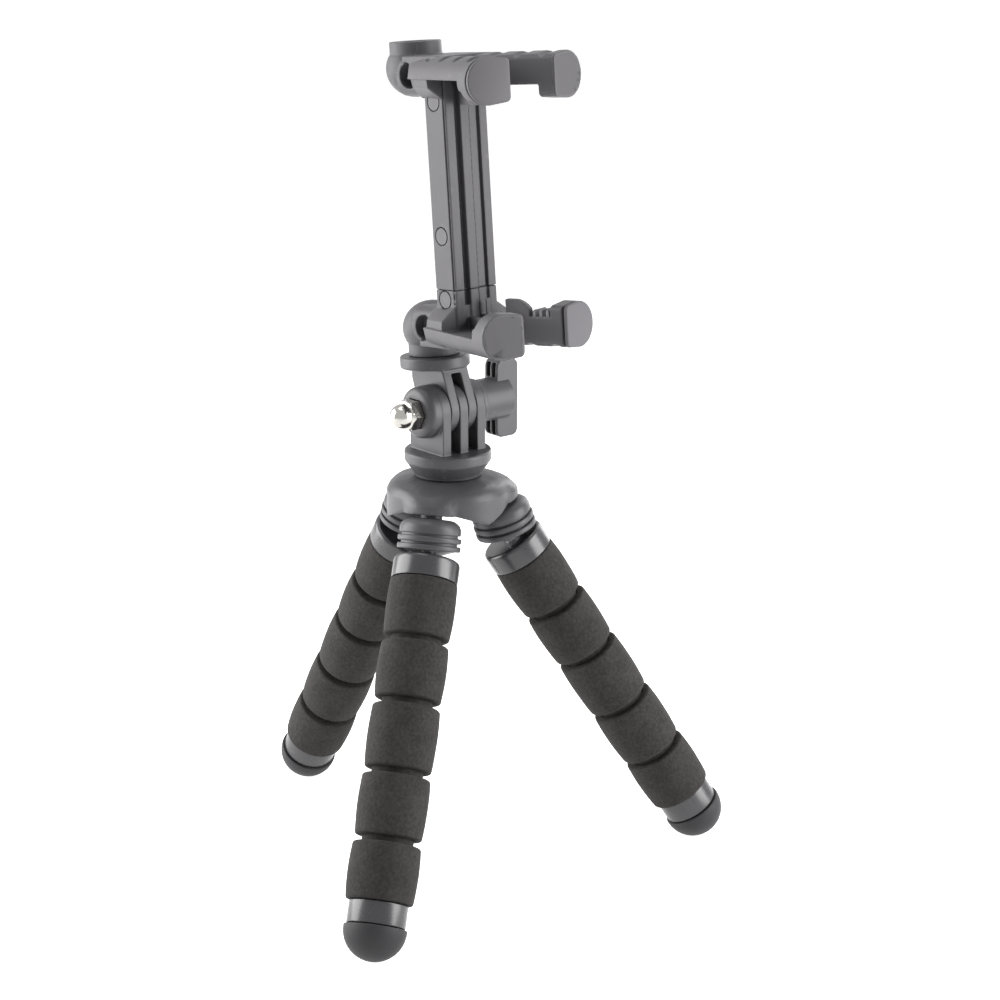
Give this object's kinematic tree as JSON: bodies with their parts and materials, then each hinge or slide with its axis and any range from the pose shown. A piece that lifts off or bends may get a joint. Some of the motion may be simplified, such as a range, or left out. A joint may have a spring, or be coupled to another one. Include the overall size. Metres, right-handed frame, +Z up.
{
  "type": "phone tripod",
  "caption": "Small tripod with bendable foam legs, a pronged tilt joint with thumb knob, and a spring clamp for a phone.",
  "frame": {"origin": "On the floor, on the hub's vertical axis", "axes": "+Z up, +X along the tilt bolt towards the thumb knob, the clamp faces -Y"},
  "size_m": [0.1424, 0.1347, 0.2398],
  "materials": {
    "foam": "matte closed-cell foam rubber, finely grained",
    "core_wire": "bare soft wire",
    "foot_rubber": "satin moulded rubber",
    "gloss_trim": "semi-gloss moulded plastic",
    "grip_rubber": "soft moulded rubber",
    "insert_brass": "turned brass, threaded",
    "bright_nut": "bright nickel-plated steel",
    "plain_steel": "plain zinc-plated steel",
    "head_plastic": "satin black moulded plastic",
    "clamp_plastic": "satin charcoal moulded plastic, fine texture"
  },
  "bodies": {
    "hub": {"hub_cover": "head_plastic", "hub_plate": "head_plastic", "hub_screws": "plain_steel", "pan_screw": "plain_steel", "leg_1_knuckle": "head_plastic", "leg_2_knuckle": "head_plastic", "leg_3_knuckle": "head_plastic"},
    "prong_base": {"prong_base": "head_plastic", "dome_nut": "bright_nut"},
    "thumb_knob": {"thumb_knob": "head_plastic", "tilt_bolt": "plain_steel"},
    "tilt_head": {"tilt_head": "head_plastic", "clamp_screw": "plain_steel"},
    "clamp": {"lower_jaw": "clamp_plastic", "lower_insert": "insert_brass", "lower_grips": "grip_rubber", "slide_rail": "plain_steel", "clamp_springs": "plain_steel", "rail_pin": "plain_steel"},
    "sliding_jaw": {"upper_jaw": "clamp_plastic", "upper_insert": "insert_brass", "upper_grips": "grip_rubber", "spine_sleeve": "clamp_plastic", "sleeve_pins": "plain_steel"},
    "leg_1_section_1": {"leg_1_top_ferrule": "gloss_trim", "leg_1_foam_1": "foam", "leg_1_core_1": "core_wire"},
    "leg_1_section_2": {"leg_1_foam_2": "foam", "leg_1_core_2": "core_wire"},
    "leg_1_section_3": {"leg_1_foam_3": "foam", "leg_1_core_3": "core_wire"},
    "leg_1_section_4": {"leg_1_foam_4": "foam", "leg_1_core_4": "core_wire"},
    "leg_1_section_5": {"leg_1_foam_5": "foam", "leg_1_tip_ferrule": "gloss_trim", "leg_1_foot": "foot_rubber"},
    "leg_2_section_1": {"leg_2_top_ferrule": "gloss_trim", "leg_2_foam_1": "foam", "leg_2_core_1": "core_wire"},
    "leg_2_section_2": {"leg_2_foam_2": "foam", "leg_2_core_2": "core_wire"},
    "leg_2_section_3": {"leg_2_foam_3": "foam", "leg_2_core_3": "core_wire"},
    "leg_2_section_4": {"leg_2_foam_4": "foam", "leg_2_core_4": "core_wire"},
    "leg_2_section_5": {"leg_2_foam_5": "foam", "leg_2_tip_ferrule": "gloss_trim", "leg_2_foot": "foot_rubber"},
    "leg_3_section_1": {"leg_3_top_ferrule": "gloss_trim", "leg_3_foam_1": "foam", "leg_3_core_1": "core_wire"},
    "leg_3_section_2": {"leg_3_foam_2": "foam", "leg_3_core_2": "core_wire"},
    "leg_3_section_3": {"leg_3_foam_3": "foam", "leg_3_core_3": "core_wire"},
    "leg_3_section_4": {"leg_3_foam_4": "foam", "leg_3_core_4": "core_wire"},
    "leg_3_section_5": {"leg_3_foam_5": "foam", "leg_3_tip_ferrule": "gloss_trim", "leg_3_foot": "foot_rubber"}
  },
  "joints": [
    {"name": "base_pan", "type": "hinge", "parent": "hub", "child": "prong_base", "pos_m": [0, 0, 0.11752], "axis": [0, 0, 1], "continuous": true},
    {"name": "knob_turn", "type": "hinge", "parent": "prong_base", "child": "thumb_knob", "pos_m": [0, 0, 0.13692], "axis": [1, 0, 0], "continuous": true},
    {"name": "head_tilt", "type": "hinge", "parent": "prong_base", "child": "tilt_head", "pos_m": [0, 0, 0.13692], "axis": [1, 0, 0], "range_deg": [-80, 60]},
    {"name": "clamp_turn", "type": "hinge", "parent": "tilt_head", "child": "clamp", "pos_m": [0, 0.00579, 0.15147], "axis": [0, 0.0872, 0.9962], "continuous": true},
    {"name": "jaw_slide", "type": "slide", "parent": "clamp", "child": "sliding_jaw", "axis": [0, 0.0872, 0.9962], "range_m": [0, 0.0315], "stiffness_N_per_m": 80, "springref_m": -0.03, "deforming": ["clamp_springs"]},
    {"name": "leg_1_splay", "type": "hinge", "parent": "hub", "child": "leg_1_section_1", "pos_m": [-0.01506, -0.0093, 0.09807], "axis": [-0.585, 0.8111, 0], "range_deg": [-25, 4]},
    {"name": "leg_1_bend_1", "type": "hinge", "parent": "leg_1_section_1", "child": "leg_1_section_2", "pos_m": [-0.02613, -0.01728, 0.07665], "axis": [-0.585, 0.8111, 0], "range_deg": [-5, 12]},
    {"name": "leg_1_bend_2", "type": "hinge", "parent": "leg_1_section_2", "child": "leg_1_section_3", "pos_m": [-0.03393, -0.02291, 0.06155], "axis": [-0.585, 0.8111, 0], "range_deg": [-5, 12]},
    {"name": "leg_1_bend_3", "type": "hinge", "parent": "leg_1_section_3", "child": "leg_1_section_4", "pos_m": [-0.04251, -0.0291, 0.04494], "axis": [-0.585, 0.8111, 0], "range_deg": [-5, 12]},
    {"name": "leg_1_bend_4", "type": "hinge", "parent": "leg_1_section_4", "child": "leg_1_section_5", "pos_m": [-0.05071, -0.03501, 0.02908], "axis": [-0.585, 0.8111, 0], "range_deg": [-5, 12]},
    {"name": "leg_2_splay", "type": "hinge", "parent": "hub", "child": "leg_2_section_1", "pos_m": [0.01558, -0.00839, 0.09807], "axis": [-0.5358, -0.8443, 0], "range_deg": [-25, 4]},
    {"name": "leg_2_bend_1", "type": "hinge", "parent": "leg_2_section_1", "child": "leg_2_section_2", "pos_m": [0.02711, -0.0157, 0.07665], "axis": [-0.5358, -0.8443, 0], "range_deg": [-5, 12]},
    {"name": "leg_2_bend_2", "type": "hinge", "parent": "leg_2_section_2", "child": "leg_2_section_3", "pos_m": [0.03523, -0.02086, 0.06155], "axis": [-0.5358, -0.8443, 0], "range_deg": [-5, 12]},
    {"name": "leg_2_bend_3", "type": "hinge", "parent": "leg_2_section_3", "child": "leg_2_section_4", "pos_m": [0.04417, -0.02653, 0.04494], "axis": [-0.5358, -0.8443, 0], "range_deg": [-5, 12]},
    {"name": "leg_2_bend_4", "type": "hinge", "parent": "leg_2_section_4", "child": "leg_2_section_5", "pos_m": [0.05269, -0.03194, 0.02908], "axis": [-0.5358, -0.8443, 0], "range_deg": [-5, 12]},
    {"name": "leg_3_splay", "type": "hinge", "parent": "hub", "child": "leg_3_section_1", "pos_m": [-0.00052, 0.01769, 0.09807], "axis": [0.9988, -0.0489, 0], "range_deg": [-25, 4]},
    {"name": "leg_3_bend_1", "type": "hinge", "parent": "leg_3_section_1", "child": "leg_3_section_2", "pos_m": [0.00014, 0.03132, 0.07665], "axis": [0.9988, -0.0489, 0], "range_deg": [-5, 12]},
    {"name": "leg_3_bend_2", "type": "hinge", "parent": "leg_3_section_2", "child": "leg_3_section_3", "pos_m": [0.00061, 0.04093, 0.06155], "axis": [0.9988, -0.0489, 0], "range_deg": [-5, 12]},
    {"name": "leg_3_bend_3", "type": "hinge", "parent": "leg_3_section_3", "child": "leg_3_section_4", "pos_m": [0.00113, 0.0515, 0.04494], "axis": [0.9988, -0.0489, 0], "range_deg": [-5, 12]},
    {"name": "leg_3_bend_4", "type": "hinge", "parent": "leg_3_section_4", "child": "leg_3_section_5", "pos_m": [0.00162, 0.06159, 0.02908], "axis": [0.9988, -0.0489, 0], "range_deg": [-5, 12]}
  ],
  "couplings": [
    {"joint": "leg_1_bend_2", "follows": "leg_1_bend_1", "ratio": 1},
    {"joint": "leg_1_bend_3", "follows": "leg_1_bend_1", "ratio": 1},
    {"joint": "leg_1_bend_4", "follows": "leg_1_bend_1", "ratio": 1},
    {"joint": "leg_2_bend_2", "follows": "leg_2_bend_1", "ratio": 1},
    {"joint": "leg_2_bend_3", "follows": "leg_2_bend_1", "ratio": 1},
    {"joint": "leg_2_bend_4", "follows": "leg_2_bend_1", "ratio": 1},
    {"joint": "leg_3_bend_2", "follows": "leg_3_bend_1", "ratio": 1},
    {"joint": "leg_3_bend_3", "follows": "leg_3_bend_1", "ratio": 1},
    {"joint": "leg_3_bend_4", "follows": "leg_3_bend_1", "ratio": 1}
  ]
}
